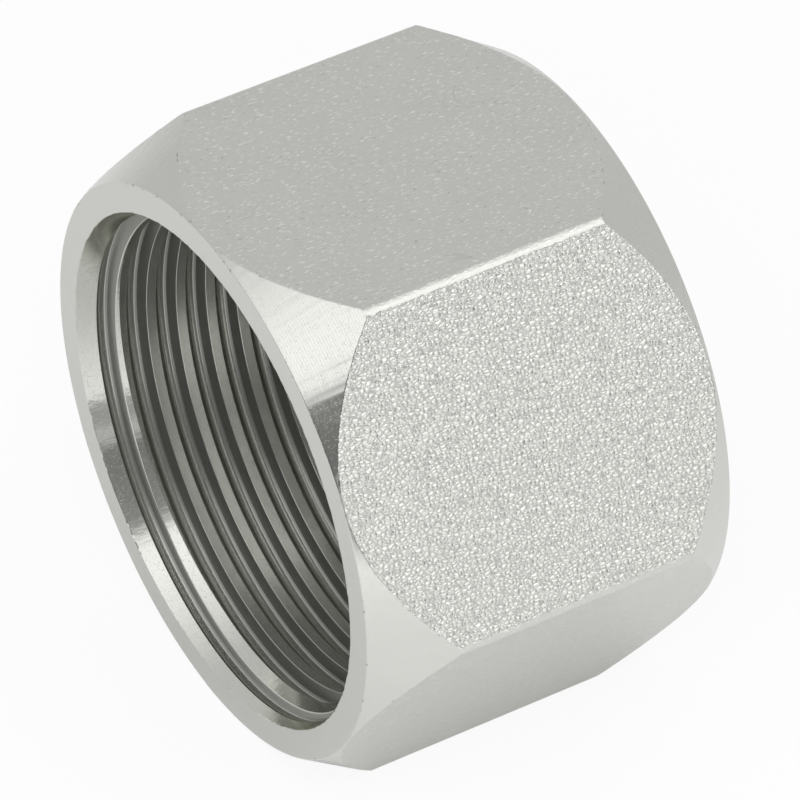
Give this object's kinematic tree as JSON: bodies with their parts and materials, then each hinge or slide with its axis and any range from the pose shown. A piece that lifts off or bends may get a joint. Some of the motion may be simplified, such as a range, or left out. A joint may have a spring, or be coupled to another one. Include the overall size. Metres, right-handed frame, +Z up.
{
  "type": "threaded protection cap",
  "caption": "Hexagonal steel protection cap with a deep internal thread, an open mouth with a lead-in bevel and a closed chamfered back.",
  "frame": {"origin": "on the surface that the cap lies on, under the middle of the cap", "axes": "+Z up, square to the flat that the cap lies on; the thread axis runs along Y at half the wrench size, and the open mouth faces -Y; X runs across the corners"},
  "size_m": [0.0432, 0.0256, 0.0375],
  "materials": {
    "plated_steel": "satin silver plating, blasted on the flats and turned on the cones, the mouth face and the bore"
  },
  "bodies": {
    "root": {"threaded_cap": "plated_steel"}
  },
  "joints": []
}
